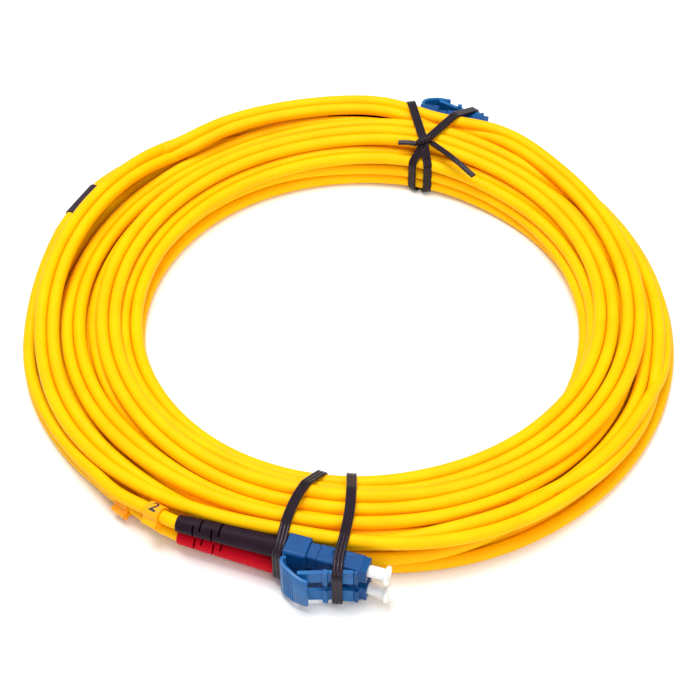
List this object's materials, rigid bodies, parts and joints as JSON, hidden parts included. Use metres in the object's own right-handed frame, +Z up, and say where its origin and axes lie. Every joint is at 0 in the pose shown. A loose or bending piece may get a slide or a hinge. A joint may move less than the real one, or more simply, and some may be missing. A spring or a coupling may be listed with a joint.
{
  "type": "fiber optic patch cord",
  "caption": "Coiled duplex fibre optic patch cord: yellow jacketed strands, latching blue plug pairs with black and red boots, dust caps, cable markers and twist ties.",
  "frame": {"origin": "middle of the box round the whole part, on the plane that the coil lies on", "axes": "+Z up out of the coil; +Y from the front plug pair to the rear pair; +X to the right along both pairs, the way the plugs point"},
  "size_m": [0.1555, 0.1612, 0.0153],
  "materials": {
    "jacket": "satin yellow PVC cord jacket",
    "plug_blue": "moulded blue thermoplastic, satin",
    "boot_black": "soft matt black elastomer",
    "boot_red": "soft matt red elastomer",
    "sleeve_black": "heat-shrunk black polyolefin",
    "tie_black": "ribbed plastic-coated twist tie",
    "marker_yellow": "moulded nylon marker",
    "cap_white": "soft translucent white cap",
    "ceramic": "polished zirconia ferrule in its flange",
    "spring_steel": "drawn spring wire",
    "crimp_metal": "crimped metal tube"
  },
  "bodies": {
    "cord": {"coil": "jacket", "front_tie": "tie_black", "rear_tie": "tie_black", "near_duplex_clip": "plug_blue", "near_split_sleeve": "sleeve_black", "near_zip_run": "jacket", "near_black_housing": "plug_blue", "near_black_rear_body": "plug_blue", "near_black_crimp_sleeve": "crimp_metal", "near_black_boot": "boot_black", "near_black_tail": "jacket", "near_black_spring": "spring_steel", "near_red_housing": "plug_blue", "near_red_rear_body": "plug_blue", "near_red_crimp_sleeve": "crimp_metal", "near_red_boot": "boot_red", "near_red_tail": "jacket", "near_red_spring": "spring_steel", "far_duplex_clip": "plug_blue", "far_split_sleeve": "sleeve_black", "far_zip_run": "jacket", "far_black_housing": "plug_blue", "far_black_rear_body": "plug_blue", "far_black_crimp_sleeve": "crimp_metal", "far_black_boot": "boot_black", "far_black_tail": "jacket", "far_black_spring": "spring_steel", "far_red_housing": "plug_blue", "far_red_rear_body": "plug_blue", "far_red_crimp_sleeve": "crimp_metal", "far_red_boot": "boot_red", "far_red_tail": "jacket", "far_red_spring": "spring_steel"},
    "near_trigger": {"near_trigger": "plug_blue"},
    "near_black_latch": {"near_black_latch": "plug_blue"},
    "near_black_ferrule": {"near_black_ferrule": "ceramic"},
    "near_black_dust_cap": {"near_black_dust_cap": "cap_white"},
    "near_black_marker": {"near_black_marker": "marker_yellow"},
    "near_red_latch": {"near_red_latch": "plug_blue"},
    "near_red_ferrule": {"near_red_ferrule": "ceramic"},
    "near_red_dust_cap": {"near_red_dust_cap": "cap_white"},
    "near_red_marker": {"near_red_marker": "marker_yellow"},
    "far_trigger": {"far_trigger": "plug_blue"},
    "far_black_latch": {"far_black_latch": "plug_blue"},
    "far_black_ferrule": {"far_black_ferrule": "ceramic"},
    "far_black_dust_cap": {"far_black_dust_cap": "cap_white"},
    "far_black_marker": {"far_black_marker": "marker_yellow"},
    "far_red_latch": {"far_red_latch": "plug_blue"},
    "far_red_ferrule": {"far_red_ferrule": "ceramic"},
    "far_red_dust_cap": {"far_red_dust_cap": "cap_white"},
    "far_red_marker": {"far_red_marker": "marker_yellow"}
  },
  "joints": [
    {"name": "near_trigger_press", "type": "hinge", "parent": "cord", "child": "near_trigger", "pos_m": [-0.01252, -0.0738, 0.00673], "axis": [0, 0, 1], "range_deg": [0, 16], "stiffness_Nm_per_rad": 0.02},
    {"name": "near_black_latch_bend", "type": "hinge", "parent": "cord", "child": "near_black_latch", "pos_m": [0.002, -0.0778, 0.00985], "axis": [0, 0, -1], "range_deg": [0, 7], "stiffness_Nm_per_rad": 0.02},
    {"name": "near_black_ferrule_float", "type": "slide", "parent": "cord", "child": "near_black_ferrule", "axis": [-0.9516, 0.3074, 0], "range_m": [0, 0.0006], "stiffness_N_per_m": 1000, "springref_m": -0.001, "deforming": ["near_black_spring"]},
    {"name": "near_black_dust_cap_pull", "type": "slide", "parent": "cord", "child": "near_black_dust_cap", "axis": [0.9516, -0.3074, 0], "range_m": [0, 0.012]},
    {"name": "near_black_marker_turn", "type": "hinge", "parent": "cord", "child": "near_black_marker", "pos_m": [-0.04108, -0.05945, 0.00834], "axis": [-0.8137, 0.5728, -0.0991], "range_deg": [-10, 90]},
    {"name": "near_red_latch_bend", "type": "hinge", "parent": "cord", "child": "near_red_latch", "pos_m": [0.002, -0.0778, 0.0036], "axis": [0, 0, -1], "range_deg": [0, 7], "stiffness_Nm_per_rad": 0.02},
    {"name": "near_red_ferrule_float", "type": "slide", "parent": "cord", "child": "near_red_ferrule", "axis": [-0.9516, 0.3074, 0], "range_m": [0, 0.0006], "stiffness_N_per_m": 1000, "springref_m": -0.001, "deforming": ["near_red_spring"]},
    {"name": "near_red_dust_cap_pull", "type": "slide", "parent": "cord", "child": "near_red_dust_cap", "axis": [0.9516, -0.3074, 0], "range_m": [0, 0.012]},
    {"name": "near_red_marker_turn", "type": "hinge", "parent": "cord", "child": "near_red_marker", "pos_m": [-0.04845, -0.05271, 0.00323], "axis": [-0.7628, 0.6401, -0.0922], "range_deg": [-5, 30]},
    {"name": "far_trigger_press", "type": "hinge", "parent": "cord", "child": "far_trigger", "pos_m": [0.02082, 0.07636, 0.00673], "axis": [0, 0, -1], "range_deg": [0, 16], "stiffness_Nm_per_rad": 0.02},
    {"name": "far_black_latch_bend", "type": "hinge", "parent": "cord", "child": "far_black_latch", "pos_m": [0.03541, 0.07259, 0.00985], "axis": [0, 0, 1], "range_deg": [0, 7], "stiffness_Nm_per_rad": 0.02},
    {"name": "far_black_ferrule_float", "type": "slide", "parent": "cord", "child": "far_black_ferrule", "axis": [-0.9781, 0.2079, 0], "range_m": [0, 0.0006], "stiffness_N_per_m": 1000, "springref_m": -0.001, "deforming": ["far_black_spring"]},
    {"name": "far_black_dust_cap_pull", "type": "slide", "parent": "cord", "child": "far_black_dust_cap", "axis": [0.9781, -0.2079, 0], "range_m": [0, 0.012]},
    {"name": "far_black_marker_turn", "type": "hinge", "parent": "cord", "child": "far_black_marker", "pos_m": [-0.01103, 0.07776, 0.0083], "axis": [0.9793, 0.1709, 0.1082], "range_deg": [-10, 90]},
    {"name": "far_red_latch_bend", "type": "hinge", "parent": "cord", "child": "far_red_latch", "pos_m": [0.03541, 0.07259, 0.0036], "axis": [0, 0, 1], "range_deg": [0, 7], "stiffness_Nm_per_rad": 0.02},
    {"name": "far_red_ferrule_float", "type": "slide", "parent": "cord", "child": "far_red_ferrule", "axis": [-0.9781, 0.2079, 0], "range_m": [0, 0.0006], "stiffness_N_per_m": 1000, "springref_m": -0.001, "deforming": ["far_red_spring"]},
    {"name": "far_red_dust_cap_pull", "type": "slide", "parent": "cord", "child": "far_red_dust_cap", "axis": [0.9781, -0.2079, 0], "range_m": [0, 0.012]},
    {"name": "far_red_marker_turn", "type": "hinge", "parent": "cord", "child": "far_red_marker", "pos_m": [-0.0208, 0.07572, 0.00342], "axis": [0.978, 0.1931, 0.0792], "range_deg": [-5, 30]}
  ],
  "couplings": [
    {"joint": "near_black_latch_bend", "follows": "near_trigger_press", "ratio": 0.42},
    {"joint": "near_red_latch_bend", "follows": "near_trigger_press", "ratio": 0.42},
    {"joint": "far_black_latch_bend", "follows": "far_trigger_press", "ratio": 0.42},
    {"joint": "far_red_latch_bend", "follows": "far_trigger_press", "ratio": 0.42}
  ]
}
